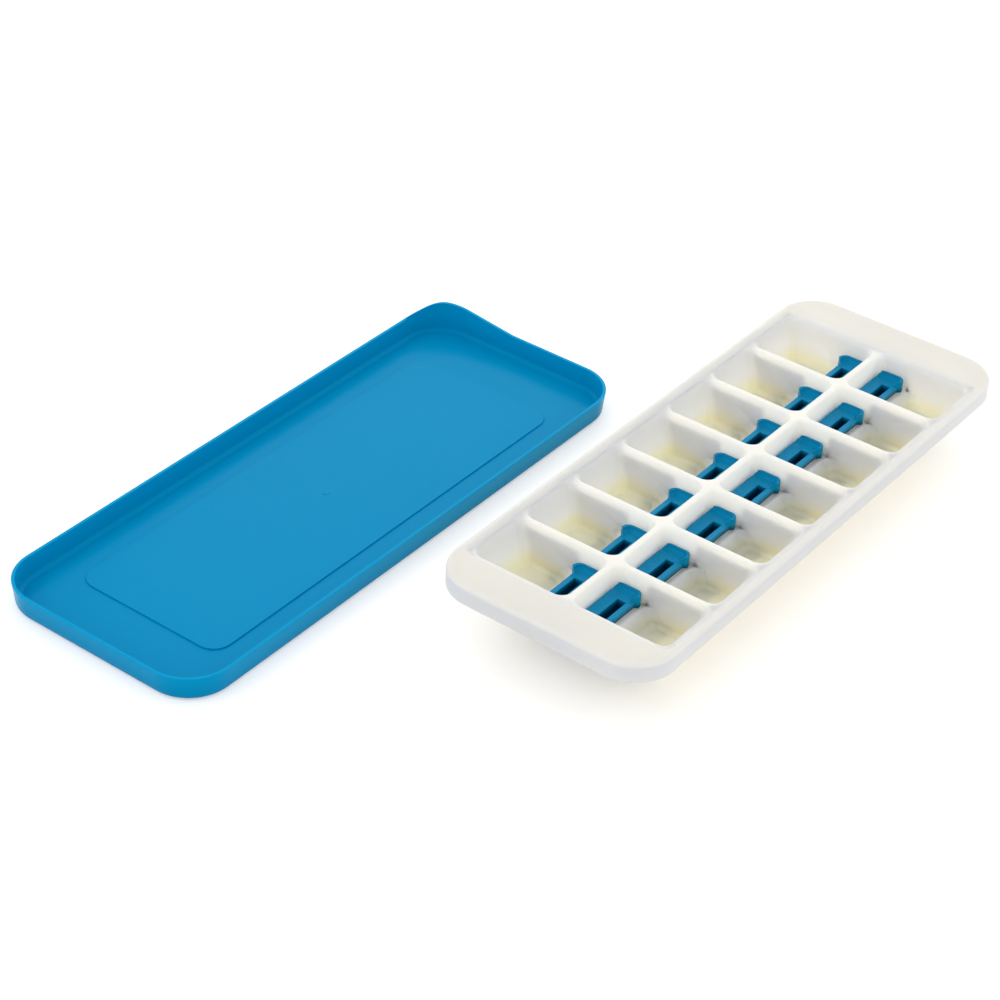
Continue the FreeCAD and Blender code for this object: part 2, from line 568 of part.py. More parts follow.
# Lever: plate with a raised head, slot, shank, hinge barrel and thumb pad, as one moulding
def make_lever(label, side):
    body = new_body(label)
    sign = "" if side > 0 else "-"

    def across(text):
        return sign + "(" + text + ")"
    middle_x = "sizes.shank_inner + sizes.shank_width / 2"
    inner = across("sizes.lever_inner")
    stem = across("sizes.lever_inner + sizes.stem_width")
    wide = across("sizes.lever_inner + sizes.head_width")
    base_z = "(" + SHELF_Z + " + sizes.seal_height)"
    top_z = "(" + base_z + " + sizes.plate_thick)"
    head_z = "(" + top_z + " + sizes.head_rise)"

    plate = new_sketch(body, label + "_plate", "XY_Plane", base_z)
    ear_front = "(sizes.head_back - sizes.ear_length)"
    nose = across("sizes.lever_inner + sizes.plate_nose")
    polygon(plate, [(inner, "sizes.plate_nose - sizes.plate_front"), (nose, "-sizes.plate_front"),
                    (stem, "-sizes.plate_front"),
                    (stem, ear_front + " - sizes.nick_length"), (wide, ear_front),
                    (wide, "sizes.head_back"), (inner, "sizes.head_back")])
    pad(body, plate, label + "_head_block", "sizes.plate_thick + sizes.head_rise")
    back = val("head_back")

    rib_side = val("lever_inner") + val("head_width") / 2
    fillet(body, label + "_head_corner", "sizes.head_corner", lambda edge: is_steep(edge)
           and abs(middle(edge).y - back) < NEAR and abs(middle(edge).x) < rib_side)
    fillet(body, label + "_ear_corner", "sizes.ear_corner", lambda edge: is_steep(edge)
           and abs(middle(edge).y - back) < NEAR and abs(middle(edge).x) > rib_side)
    scoop = new_sketch(body, label + "_scoop", "XY_Plane", top_z)
    rectangle(scoop, across("sizes.lever_inner - sizes.head_width"), stem,
              "-2 * sizes.plate_front", "(sizes.head_back - sizes.head_wall)")
    before = body.Tip.Shape.Volume
    pocket(body, scoop, label + "_scoop_cut", "2 * sizes.head_rise", reverse=True)
    if before - body.Tip.Shape.Volume < 10:
        raise ValueError(label + ": the scoop cut nothing")
    wall_face = back - val("head_wall")
    plate_top = shelf_z + val("seal_height") + val("plate_thick")

    fillet(body, label + "_scoop_ear_corner", "sizes.ear_corner - sizes.head_wall",
           lambda edge: is_steep(edge) and abs(middle(edge).y - wall_face) < NEAR
           and abs(middle(edge).x) > rib_side)
    wall_from = back - val("ear_length") - val("nick_length")

    def scoop_foot(edge):
        beside_ear = abs(middle(edge).x) > rib_side and middle(edge).y > wall_from + NEAR
        return is_level(edge, plate_top) and (beside_ear or abs(middle(edge).y - wall_face) < NEAR)
    chamfer(body, label + "_scoop_foot", "sizes.head_hollow", scoop_foot)

    shank = new_sketch(body, label + "_shank", "YZ_Plane", across(middle_x))
    low_z = "(" + base_z + " - sizes.shank_drop)"
    neck_z = "(sizes.hinge_height + sizes.neck_rise)"
    crown = "(sizes.hinge_height + sizes.barrel_radius)"
    belly = "(sizes.hinge_height - sizes.barrel_radius)"
    flat = "sizes.barrel_radius * tan(22.5 deg)"
    polygon(shank, [("-sizes.shank_front", base_z + " + sizes.slot_floor"),
                    ("-sizes.shank_front", neck_z),
                    ("-sizes.window_gap_front - sizes.shank_front", neck_z),
                    ("-sizes.hinge_front + " + flat, crown), ("-sizes.hinge_front - " + flat, crown),
                    ("-sizes.hinge_front - sizes.barrel_radius", "sizes.hinge_height + " + flat),
                    ("-sizes.hinge_front - sizes.barrel_radius", "sizes.hinge_height - " + flat),
                    ("-sizes.hinge_front - " + flat, belly), ("-sizes.hinge_front + " + flat, belly),
                    ("-sizes.shank_front", low_z), ("sizes.shank_back", low_z),
                    ("sizes.shank_back", base_z + " + sizes.slot_floor")])
    pad(body, shank, label + "_shank_block", "sizes.shank_width", midplane=True)
    pivot = new_sketch(body, label + "_pivot", "YZ_Plane", across(middle_x))
    circle(pivot, "-sizes.hinge_front", "sizes.hinge_height", "sizes.pivot_radius")
    pad(body, pivot, label + "_pivot_block", PIVOT_LENGTH, midplane=True)

    web = new_sketch(body, label + "_web", "YZ_Plane", across(middle_x))
    pad_top = "(sizes.pad_height + sizes.pad_thick)"
    rectangle(web, "-sizes.web_front", "sizes.web_back", "sizes.pad_height + sizes.pad_thick / 2",
              low_z + " + sizes.slot_floor / 2")
    pad(body, web, label + "_web_block", "sizes.web_thick", midplane=True)
    thumb = new_sketch(body, label + "_thumb", "XY_Plane", "sizes.pad_height")
    rectangle(thumb, across(middle_x + " - sizes.pad_width / 2"),
              across(middle_x + " + sizes.pad_width / 2"), "-sizes.pad_front", "sizes.pad_back")
    pad(body, thumb, label + "_thumb_block", "sizes.pad_thick")
    pad_low = val("pad_height")
    pad_high = pad_low + val("pad_thick")

    def pad_corner(edge):
        heights = sorted(point.z for point in ends(edge))
        return abs(heights[0] - pad_low) < NEAR and abs(heights[-1] - pad_high) < NEAR
    chamfer(body, label + "_thumb_corners", "sizes.pad_corner", pad_corner)

    slot = new_sketch(body, label + "_slot", "XY_Plane", top_z)
    rectangle(slot, across(middle_x + " - sizes.slot_width / 2"),
              across(middle_x + " + sizes.slot_width / 2"), "-sizes.slot_front", "sizes.slot_back")
    before = body.Tip.Shape.Volume
    pocket(body, slot, label + "_slot_cut", "sizes.plate_thick + sizes.shank_drop - sizes.slot_floor")
    if before - body.Tip.Shape.Volume < 10:
        raise ValueError(label + ": the slot cut nothing")
    return body


# Soft ring between a lever's plate and the shelf, round the window
def make_seal(label, side):
    body = new_body(label)
    sign = "" if side > 0 else "-"
    near = "sizes.shank_inner - sizes.window_gap_side - sizes.seal_inset"
    far = "sizes.shank_inner + sizes.shank_width + sizes.window_gap_side + sizes.seal_inset"
    front = "(-sizes.shank_front - sizes.window_gap_front - sizes.seal_inset)"
    back = "(sizes.shank_back + sizes.window_gap_back + sizes.seal_inset)"
    ring = new_sketch(body, label + "_outline", "XY_Plane", SHELF_Z)
    rectangle(ring, sign + "(" + near + " - sizes.seal_width)", sign + "(" + far + " + sizes.seal_width)",
              front + " - sizes.seal_width", back + " + sizes.seal_width")
    rectangle(ring, sign + "(" + near + ")", sign + "(" + far + ")", front, back)
    pad(body, ring, label + "_band", "sizes.seal_height")
    return body


# Lid: a shallow pan, open side up, with a sunk panel outside and a lifting tab at one corner
def make_lid():
    body = new_body("lid")
    half_x = "(sizes.tray_width / 2 + sizes.lid_gap_x)"
    half_y = "(sizes.tray_length / 2 + sizes.lid_gap_y)"
    edge_outline = new_sketch(body, "lid_edge", "XY_Plane", "sizes.lid_height")
    rounded_outline(edge_outline, half_x, half_y, "sizes.lid_corner")
    flat = new_sketch(body, "lid_flat", "XY_Plane")
    rounded_outline(flat, "(" + half_x + " - sizes.lid_draft)", "(" + half_y + " - sizes.lid_draft)",
                    "sizes.lid_corner - sizes.lid_draft")
    loft(body, "AdditiveLoft", "lid_block", edge_outline, flat)
    fillet(body, "lid_flat_edge", "sizes.lid_round", lambda edge: is_level(edge, 0))
    pad(body, edge_outline, "lid_tab_block", "sizes.tab_height")

    height = "sizes.lid_height"
    peak = "(sizes.lid_height + sizes.tab_height)"
    tall = "(sizes.lid_height + 2 * sizes.tab_height)"
    slope = new_sketch(body, "tab_profile", "XZ_Plane")
    polygon(slope, [("-sizes.tray_width", height), ("-" + half_x, height),
                    ("-sizes.tab_peak", peak), ("-sizes.tab_end", height),
                    ("sizes.tray_width", height), ("sizes.tray_width", tall),
                    ("-sizes.tray_width", tall)])
    before = body.Tip.Shape.Volume
    pocket(body, slope, "tab_cut", "2 * sizes.tray_length", midplane=True)
    front = new_sketch(body, "tab_front", "YZ_Plane")
    corner_y = "(" + half_y + " - sizes.lid_corner)"
    rectangle(front, "-sizes.tray_length", corner_y, height, tall)
    pocket(body, front, "tab_front_cut", "2 * sizes.tray_width", midplane=True)
    print("tab shaped by cutting", round(before - body.Tip.Shape.Volume), "mm3")
    peak_z = val("lid_height") + val("tab_height")
    fillet(body, "tab_round", "sizes.tab_round", lambda edge: is_level(edge, peak_z))

    brim = new_sketch(body, "lid_hollow_brim", "XY_Plane", height)
    wall = " - sizes.lid_wall)"
    rounded_outline(brim, "(" + half_x + wall, "(" + half_y + wall, "sizes.lid_corner - sizes.lid_wall")
    share = "sizes.lid_draft * (sizes.lid_height - sizes.lid_top) / sizes.lid_height"
    floor = new_sketch(body, "lid_hollow_floor", "XY_Plane", "sizes.lid_top")
    rounded_outline(floor, "(" + half_x + " - sizes.lid_wall - " + share + ")",
                    "(" + half_y + " - sizes.lid_wall - " + share + ")",
                    "sizes.lid_corner - sizes.lid_wall - " + share)
    loft(body, "SubtractiveLoft", "lid_hollow", brim, floor)
    pocket(body, brim, "lid_hollow_top", "2 * sizes.tab_height", reverse=True)
    inside_z = val("lid_top")
    fillet(body, "lid_inside_round", "sizes.lid_hollow", lambda edge: is_level(edge, inside_z))

    corner = "sizes.panel_corner"
    panel_x = "(sizes.panel_width / 2)"
    panel_y = "(sizes.panel_length / 2)"
    raised = new_sketch(body, "panel_inside", "XY_Plane", "sizes.lid_top")
    rounded_outline(raised, panel_x, panel_y, corner)
    pad(body, raised, "panel_raise", "sizes.panel_step")
    sunk = new_sketch(body, "panel_outside", "XY_Plane")
    rounded_outline(sunk, panel_x, panel_y, corner)
    before = body.Tip.Shape.Volume
    pocket(body, sunk, "panel_sink", "sizes.panel_step", reverse=True)
    print("panel sunk by", round(before - body.Tip.Shape.Volume), "mm3")
    return body


def put(item, place):
    item.Placement = FreeCAD.Placement(place, FreeCAD.Rotation())


pieces = [make_tray()]
for side_name, side in (("right", 1), ("left", -1)):
    for number, along in enumerate(row_places()):
        lever = make_lever("lever_%s_%d" % (side_name, number + 1), side)
        put(lever, tray_place + Vector(0, along, 0))
        seal = make_seal("seal_%s_%d" % (side_name, number + 1), side)
        put(seal, tray_place + Vector(0, along, 0))
        pieces = pieces + [lever, seal]
lid = make_lid()
put(lid, lid_place)
pieces.append(lid)
doc.recompute()

# Every piece has to be sound before it is written
for item in doc.Objects:
    if "Invalid" in item.State or "Error" in item.State:
        raise ValueError(item.Label + " failed: " + str(item.State))
for piece in pieces:
    shape = piece.Shape
    if shape.isNull() or not shape.isValid() or len(shape.Solids) != 1:
        raise ValueError(piece.Label + " isn't one sound solid")
os.makedirs("parts", exist_ok=True)
for piece in pieces:
    piece.Shape.exportStep("parts/" + piece.Label + ".step")
    box = piece.Shape.BoundBox
    print(piece.Label, "faces", len(piece.Shape.Faces), "volume", round(piece.Shape.Volume, 1),
          "x %.1f to %.1f" % (box.XMin, box.XMax), "y %.1f to %.1f" % (box.YMin, box.YMax),
          "z %.1f to %.1f" % (box.ZMin, box.ZMax))
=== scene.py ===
# %% [markdown]
# # Lever ice cube tray
# A translucent white tray with fourteen cells, a blue push lever in each cell, and a blue lid that
# lies upside down beside it. The measured solids come in as a fixed frame, and every piece below is
# built around them in metres, so nothing has to be fitted by eye.

# %% Load the measured frame
import math

import bmesh
import bpy
from mathutils import Matrix, Vector


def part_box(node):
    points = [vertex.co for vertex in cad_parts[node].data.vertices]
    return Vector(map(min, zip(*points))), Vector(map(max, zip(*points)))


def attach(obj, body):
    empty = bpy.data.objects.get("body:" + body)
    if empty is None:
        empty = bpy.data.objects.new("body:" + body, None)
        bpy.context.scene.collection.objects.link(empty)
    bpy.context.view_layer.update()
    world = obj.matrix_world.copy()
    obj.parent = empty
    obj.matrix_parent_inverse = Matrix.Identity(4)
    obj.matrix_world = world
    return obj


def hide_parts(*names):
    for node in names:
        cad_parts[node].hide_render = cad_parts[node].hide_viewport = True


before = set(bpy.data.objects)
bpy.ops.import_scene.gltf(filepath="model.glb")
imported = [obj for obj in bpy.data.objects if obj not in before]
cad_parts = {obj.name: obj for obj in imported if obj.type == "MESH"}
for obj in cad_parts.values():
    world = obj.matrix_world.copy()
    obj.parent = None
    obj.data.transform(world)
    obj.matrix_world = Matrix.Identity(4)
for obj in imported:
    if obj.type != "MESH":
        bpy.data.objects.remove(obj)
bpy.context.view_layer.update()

MM = 0.001
tray_low, tray_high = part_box("tray")
lid_low, lid_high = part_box("lid")
tray_centre = (tray_low + tray_high) / 2
lid_centre = (lid_low + lid_high) / 2
print("tray", [round(size * 1000, 1) for size in tray_high - tray_low], "mm")
print("lid", [round(size * 1000, 1) for size in lid_high - lid_low], "mm")

# %% [markdown]
# ## Camera
# The camera comes first, because everything after it is judged through it. The rim of the tray is
# a rectangle of known size, so its outline in the picture fixes where the camera stood: about
# 1.2 m away with a long lens, turned 36 degrees round and 36 degrees above the table, and rolled
# a little to the side.

# %% Camera
CAMERA_TURN = math.radians(35.821)
CAMERA_HEIGHT = math.radians(35.608)
CAMERA_ROLL = math.radians(2.797)
CAMERA_DISTANCE = 1.23141
CAMERA_LENS = 92.399
AIM_FROM_RIM_CENTRE = Vector((-0.068903, -0.099748, 0.0))


def add_camera():
    """The photograph's view, built from its turn, height and roll."""
    rim_centre = Vector((tray_centre.x, tray_centre.y, tray_high.z))
    right = Vector((math.cos(CAMERA_TURN), math.sin(CAMERA_TURN), 0))
    forward = Vector((-math.sin(CAMERA_TURN) * math.cos(CAMERA_HEIGHT),
                      math.cos(CAMERA_TURN) * math.cos(CAMERA_HEIGHT),
                      -math.sin(CAMERA_HEIGHT)))
    upward = right.cross(forward)
    rolled_right = math.cos(CAMERA_ROLL) * right + math.sin(CAMERA_ROLL) * upward
    rolled_up = math.cos(CAMERA_ROLL) * upward - math.sin(CAMERA_ROLL) * right
    data = bpy.data.cameras.new("catalogue_camera")
    data.lens = CAMERA_LENS
    data.sensor_width = 36.0
    data.clip_start = 0.01
    data.clip_end = 20.0
    camera = bpy.data.objects.new("catalogue_camera", data)
    bpy.context.scene.collection.objects.link(camera)
    axes = Matrix((rolled_right, rolled_up, -forward)).transposed().to_4x4()
    place = rim_centre + AIM_FROM_RIM_CENTRE - forward * CAMERA_DISTANCE
    camera.matrix_world = Matrix.Translation(place) @ axes
    bpy.context.scene.camera = camera
    return camera


camera = add_camera()
print("camera at", [round(place, 4) for place in camera.matrix_world.translation])

# %% [markdown]
# ## World light
# The picture is a catalogue cut-out: soft light from all round and a white background. The light
# path splits the world in two, so that the background stays white for the camera whatever strength
# the even light on the pieces needs.

# %% World light
scene = bpy.context.scene
scene.view_settings.view_transform = "Standard"
WORLD_LIGHT = 0.98


def add_world():
    world = bpy.data.worlds.new("studio")
    scene.world = world
    world.use_nodes = True
    tree = world.node_tree
    tree.nodes.clear()
    path = tree.nodes.new("ShaderNodeLightPath")
    soft = tree.nodes.new("ShaderNodeBackground")
    soft.inputs["Color"].default_value = (1.0, 1.0, 1.0, 1)
    soft.inputs["Strength"].default_value = WORLD_LIGHT
    white = tree.nodes.new("ShaderNodeBackground")
    white.inputs["Color"].default_value = (1, 1, 1, 1)
    white.inputs["Strength"].default_value = 1.0
    mix = tree.nodes.new("ShaderNodeMixShader")
    out = tree.nodes.new("ShaderNodeOutputWorld")
    tree.links.new(path.outputs["Is Camera Ray"], mix.inputs[0])
    tree.links.new(soft.outputs[0], mix.inputs[1])
    tree.links.new(white.outputs[0], mix.inputs[2])
    tree.links.new(mix.outputs[0], out.inputs[0])


add_world()
print("world light", WORLD_LIGHT)

# %% [markdown]
# ## Lamps
# Highlights tell the eye that plastic is glossy, and each one has its own lamp here. The one at
# the back left is mirrored by the flat of the lid. The one at the front left is mirrored by the
# hollow bends of the levers, whose faces look forwards and up. The low one at the back right
# catches the raised panel's long edge.

# %% Lamps
scene_middle = (tray_centre + lid_centre) / 2
# name, place from the middle of the scene in metres, size in metres, watts
LAMPS = [("window_lamp", Vector((-0.75, 1.05, 0.95)), (0.9, 0.5), 1.6),
         ("front_lamp", Vector((-0.85, -1.0, 1.15)), (0.6, 0.6), 2.2),
         ("edge_lamp", Vector((0.95, 1.1, 0.76)), (0.5, 0.4), 1.2)]


def add_lamp(name, offset, size, power):
    data = bpy.data.lights.new(name, "AREA")
    data.shape = "RECTANGLE"
    data.size, data.size_y = size
    data.energy = power
    lamp = bpy.data.objects.new(name, data)
    scene.collection.objects.link(lamp)
    lamp.location = scene_middle + offset
    lamp.rotation_mode = "QUATERNION"
    lamp.rotation_quaternion = (-offset).to_track_quat("-Z", "Y")
    return lamp


for lamp_values in LAMPS:
    add_lamp(*lamp_values)
print("lamps", [values[0] for values in LAMPS])

# %% [markdown]
# ## Ground
# The ground only has to take the faint shadow under the pieces. Its own pale surface would look
# grey beside the white background, so it glows a little, but only for the camera and for
# reflections, which keeps that glow off the pieces.

# %% Ground
GROUND_GLOW = 0.38


def add_ground():
    mesh = bpy.data.meshes.new("ground")
    reach = 3.0
    depth = -0.4 * MM
    mesh.from_pydata([(-reach, -reach, depth), (reach, -reach, depth),
                      (reach, reach, depth), (-reach, reach, depth)], [], [(0, 1, 2, 3)])
    ground = bpy.data.objects.new("ground", mesh)
    scene.collection.objects.link(ground)
    material = bpy.data.materials.new("white_ground")
    material.use_nodes = True
    tree = material.node_tree
    tree.nodes.clear()
    path = tree.nodes.new("ShaderNodeLightPath")
    seen = tree.nodes.new("ShaderNodeMath")
    seen.operation = "MAXIMUM"
    matte = tree.nodes.new("ShaderNodeBsdfDiffuse")
    matte.inputs["Color"].default_value = (0.8, 0.8, 0.8, 1)
    glow = tree.nodes.new("ShaderNodeEmission")
    glow.inputs["Color"].default_value = (1, 1, 1, 1)
    glow.inputs["Strength"].default_value = GROUND_GLOW
    add = tree.nodes.new("ShaderNodeAddShader")
    mix = tree.nodes.new("ShaderNodeMixShader")
    out = tree.nodes.new("ShaderNodeOutputMaterial")
    tree.links.new(path.outputs["Is Camera Ray"], seen.inputs[0])
    tree.links.new(path.outputs["Is Glossy Ray"], seen.inputs[1])
    tree.links.new(matte.outputs[0], add.inputs[0])
    tree.links.new(glow.outputs[0], add.inputs[1])
    tree.links.new(seen.outputs[0], mix.inputs[0])
    tree.links.new(matte.outputs[0], mix.inputs[1])
    tree.links.new(add.outputs[0], mix.inputs[2])
    tree.links.new(mix.outputs[0], out.inputs[0])
    mesh.materials.append(material)


add_ground()
print("white ground")

# %% [markdown]
# ## Shader helpers
# Every finish here is a Principled shader fed by noise in real millimetres. The helpers below each
# add one node and hand back its output, so a finish reads as a short list of steps.

# %% Shader helpers


def new_material(name):
    material = bpy.data.materials.new(name)
    material.use_nodes = True
    tree = material.node_tree
    return material, tree, tree.nodes["Principled BSDF"]


def add_noise(tree, coords, scale, detail=2.0):
    noise = tree.nodes.new("ShaderNodeTexNoise")
    noise.inputs["Scale"].default_value = scale
    noise.inputs["Detail"].default_value = detail
    tree.links.new(coords, noise.inputs["Vector"])
    return noise.outputs["Fac"]


def add_ramp(tree, factor, stops):
    ramp = tree.nodes.new("ShaderNodeValToRGB")
    elements = ramp.color_ramp.elements
    while len(elements) > 1:
        elements.remove(elements[0])
    for index, (place, color) in enumerate(stops):
        element = elements[0] if index == 0 else elements.new(place)
        element.position = place
        element.color = (*color, 1)
    tree.links.new(factor, ramp.inputs["Fac"])
    return ramp.outputs["Color"]


def add_range(tree, value, low, high, to_low, to_high):
    span = tree.nodes.new("ShaderNodeMapRange")
    numbers = {"From Min": low, "From Max": high, "To Min": to_low, "To Max": to_high}
    for name, number in numbers.items():
        span.inputs[name].default_value = number
    tree.links.new(value, span.inputs["Value"])
    return span.outputs["Result"]


def add_mix(tree, factor, first, second):
    mix = tree.nodes.new("ShaderNodeMix")
    mix.data_type = "RGBA"
    for socket, value in ((mix.inputs[0], factor), (mix.inputs[6], first), (mix.inputs[7], second)):
        if isinstance(value, bpy.types.NodeSocket):
            tree.links.new(value, socket)
        else:
            socket.default_value = (*value, 1)
    return mix.outputs[2]


def add_bump(tree, shader, height, strength, distance):
    bump = tree.nodes.new("ShaderNodeBump")
    bump.inputs["Strength"].default_value = strength
    bump.inputs["Distance"].default_value = distance
    tree.links.new(height, bump.inputs["Height"])
    tree.links.new(bump.outputs["Normal"], shader.inputs["Normal"])


def object_place(tree):
    """Object coordinates and their height alone."""
    coords = tree.nodes.new("ShaderNodeTexCoord").outputs["Object"]
    split = tree.nodes.new("ShaderNodeSeparateXYZ")
    tree.links.new(coords, split.inputs[0])
    return coords, split.outputs["Z"]


def linear(red, green, blue):
    """Colour as a screen shows it, 0 to 255, as the shader wants it."""
    def one(value):
        share = value / 255
        return share / 12.92 if share <= 0.04045 else ((share + 0.055) / 1.055) ** 2.4
    return (one(red), one(green), one(blue))


print("helpers ready")

# %% [markdown]
# ## Milky plastic of the tray
# Thin walls of natural polypropylene let light through, so the cells glow instead of going grey.
# Subsurface scattering does that here. A ramp over the height also paints light and shade into the
# colour: painted warm tan shade on the floors, deepest in the cells, where the light has crossed
# the most plastic; pale walls; and a rim painted slightly greyer, as it only sees the room.

# %% Milky plastic
# Painted light and shade by height: tan shade for the floors, a dimmer white for the rim.
RIM_DIMMED_WHITE = linear(224, 218, 209)
WALL_WHITE = linear(255, 251, 240)
FLOOR_SHADE_TAN = linear(255, 241, 196)
FLOOR_Z = 16.3 * MM


def make_tray_plastic():
    material, tree, shader = new_material("milky_polypropylene")
    coords, height = object_place(tree)
    # Ramp over the height that paints shade: tan at the floors, pale walls, a dimmer rim.
    depth = add_range(tree, height, FLOOR_Z, tray_high.z, 0.0, 1.0)
    ramp = add_ramp(tree, depth, [(0.0, FLOOR_SHADE_TAN), (0.12, FLOOR_SHADE_TAN), (0.42, WALL_WHITE),
                                  (0.88, WALL_WHITE), (1.0, RIM_DIMMED_WHITE)])
    warm = add_range(tree, add_noise(tree, coords, 28.0, 3.0), 0.3, 0.7, 0.0, 0.08)
    color = add_mix(tree, warm, ramp, linear(236, 226, 204))
    tree.links.new(color, shader.inputs["Base Color"])
    gloss = add_range(tree, add_noise(tree, coords, 60.0), 0.3, 0.7, 0.34, 0.44)
    tree.links.new(gloss, shader.inputs["Roughness"])
    shader.inputs["Subsurface Weight"].default_value = 1.0
    shader.inputs["Subsurface Radius"].default_value = (1.0, 0.88, 0.66)
    shader.inputs["Subsurface Scale"].default_value = 0.014
    shader.inputs["Specular IOR Level"].default_value = 0.3
    shader.inputs["IOR"].default_value = 1.49
    add_bump(tree, shader, add_noise(tree, coords, 1400.0), 0.10, 0.0002)
    return material


tray_plastic = make_tray_plastic()
print(tray_plastic.name)

# %% [markdown]
# ## Blue plastic of the levers and the lid
# The blue mouldings are deep in colour and glossy. A white highlight would wash them out, so the
# specular tint is blue too. A ramp over the height paints shade low in the levers' slots, and
# paints light into the lid, a little lighter towards its open edge, where light shines through.

# %% Blue plastic
LEVER_BLUE = linear(8, 128, 175)
# Painted shade for the bottom of the lever slots.
SLOT_SHADE_BLUE = linear(0, 44, 78)
LID_FLAT_BLUE = linear(0, 137, 187)
# Painted light on the lid towards its open edge.
LID_EDGE_LIT_BLUE = linear(0, 152, 204)
GLOSS_TINT = (0.08, 0.7, 1.0, 1.0)
BLUE_IOR = 1.3


def make_blue_plastic(name, low_color, top_color, low_z, high_z, rough, gloss_level):
    material, tree, shader = new_material(name)
    coords, height = object_place(tree)
    # Ramp over the height: painted shade low in the lever slots, painted light towards the lid's
    # edge.
    rise = add_range(tree, height, low_z, high_z, 0.0, 1.0)
    ramp = add_ramp(tree, rise, [(0.0, low_color), (1.0, top_color)])
    cloud = add_range(tree, add_noise(tree, coords, 12.0), 0.3, 0.7, 0.0, 0.2)
    color = add_mix(tree, cloud, ramp, tuple(part * 0.88 for part in top_color))
    tree.links.new(color, shader.inputs["Base Color"])
    gloss = add_range(tree, add_noise(tree, coords, 90.0), 0.3, 0.7, rough, rough + 0.06)
    tree.links.new(gloss, shader.inputs["Roughness"])
    shader.inputs["Subsurface Weight"].default_value = 0.12
    shader.inputs["Subsurface Radius"].default_value = (0.2, 0.6, 1.0)
    shader.inputs["Subsurface Scale"].default_value = 0.0015
    shader.inputs["Specular IOR Level"].default_value = gloss_level
    shader.inputs["Specular Tint"].default_value = GLOSS_TINT
    shader.inputs["IOR"].default_value = BLUE_IOR
    add_bump(tree, shader, add_noise(tree, coords, 900.0), 0.015, 0.0002)
    return material


lever_plastic = make_blue_plastic("blue_lever_plastic", SLOT_SHADE_BLUE, LEVER_BLUE,
                                  26.2 * MM, 29.0 * MM, 0.24, 0.30)
lid_plastic = make_blue_plastic("blue_lid_plastic", LID_FLAT_BLUE, LID_EDGE_LIT_BLUE,
                                1.0 * MM, 13.4 * MM, 0.20, 0.12)
print(lever_plastic.name, lid_plastic.name)

# %% [markdown]
# ## Soft rubber of the seals
# Silicone is matte, so this finish is rough and has a stronger, finer grain than the plastics.

# %% Seal rubber


def make_seal_rubber():
    material, tree, shader = new_material("soft_grey_silicone")
    coords = object_place(tree)[0]
    grain = add_noise(tree, coords, 120.0)
    tone = add_ramp(tree, grain, [(0.35, (0.60, 0.62, 0.63)), (0.65, (0.68, 0.70, 0.70))])
    tree.links.new(tone, shader.inputs["Base Color"])
    shader.inputs["Roughness"].default_value = 0.62
    add_bump(tree, shader, add_noise(tree, coords, 2200.0), 0.2, 0.0001)
    return material


seal_rubber = make_seal_rubber()
print(seal_rubber.name)

# %% [markdown]
# ## From measured solid to finished moulding
# A measured solid arrives as loose triangles with hard edges. A moulding has none, so each piece
# takes a merged copy of its solid, joins the flat triangles back into whole faces and rounds the
# sharp edges. How far an edge is rounded depends on where it lies, so each piece has a small rule
# that gives the width for an edge's middle, and the bevel reads it as a weight.

# %% Finished copy of a solid
MERGE_REACH = 0.001 * MM
FLAT_ANGLE = math.radians(0.5)
EDGE_ANGLE = math.radians(34)
EDGE_STEPS = 3
AREA_WEIGHT = 80
LEVEL_SLACK = 0.05 * MM


def merged_copy(node, name):
    """Plain mesh object with the solid's doubles merged and its flats made whole faces."""
    form = bmesh.new()
    form.from_mesh(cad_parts[node].data)
    bmesh.ops.remove_doubles(form, verts=form.verts, dist=MERGE_REACH)
    bmesh.ops.dissolve_limit(form, angle_limit=FLAT_ANGLE, verts=form.verts, edges=form.edges)
    mesh = bpy.data.meshes.new(name)
    form.to_mesh(mesh)
    form.free()
    piece = bpy.data.objects.new(name, mesh)
    scene.collection.objects.link(piece)
    return piece


def round_edges(piece, rule, widest):
    """Bevel each sharp edge by the width that the rule gives for its middle."""
    form = bmesh.new()
    form.from_mesh(piece.data)
    weights = []
    for edge in form.edges:
        sharp = len(edge.link_faces) == 2 and edge.calc_face_angle(0.0) > EDGE_ANGLE
        middle = (edge.verts[0].co + edge.verts[1].co) / 2
        weights.append(rule(middle) / widest if sharp else 0.0)
    form.free()
    layer = piece.data.attributes.new("bevel_weight_edge", "FLOAT", "EDGE")
    layer.data.foreach_set("value", weights)
    bevel = piece.modifiers.new("edge_rounding", "BEVEL")
    bevel.width = widest
    bevel.segments = EDGE_STEPS
    bevel.limit_method = "WEIGHT"
    bevel.use_clamp_overlap = False
    for polygon in piece.data.polygons:
        polygon.use_smooth = True
    shade = piece.modifiers.new("flat_faces", "WEIGHTED_NORMAL")
    shade.keep_sharp = True
    shade.weight = AREA_WEIGHT


def finish_piece(piece, body, nodes, material):
    piece.data.materials.clear()
    piece.data.materials.append(material)
    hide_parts(*nodes)
    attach(piece, body)


def near(value, level):
    return abs(value - level) < LEVEL_SLACK


print("edges sharper than", round(math.degrees(EDGE_ANGLE)), "degrees are rounded")

# %% [markdown]
# ## Tray
# The measured tray already has slopes where the moulding is round: at the foot of each basin and
# along the tops of the walls. Smooth shading weighted by face area blends such a slope from one
# big face to the next, so it looks like a full rounding. Of its hard edges only the foot of the
# skirt, which shows all the way round, gets a real rounding. The rule picks it by its height.

# %% Tray
SKIRT_FOOT_Z = 31.8 * MM
SKIRT_ROUND = 0.3 * MM


def tray_rule(point):
    return SKIRT_ROUND if near(point.z, SKIRT_FOOT_Z) else 0.0


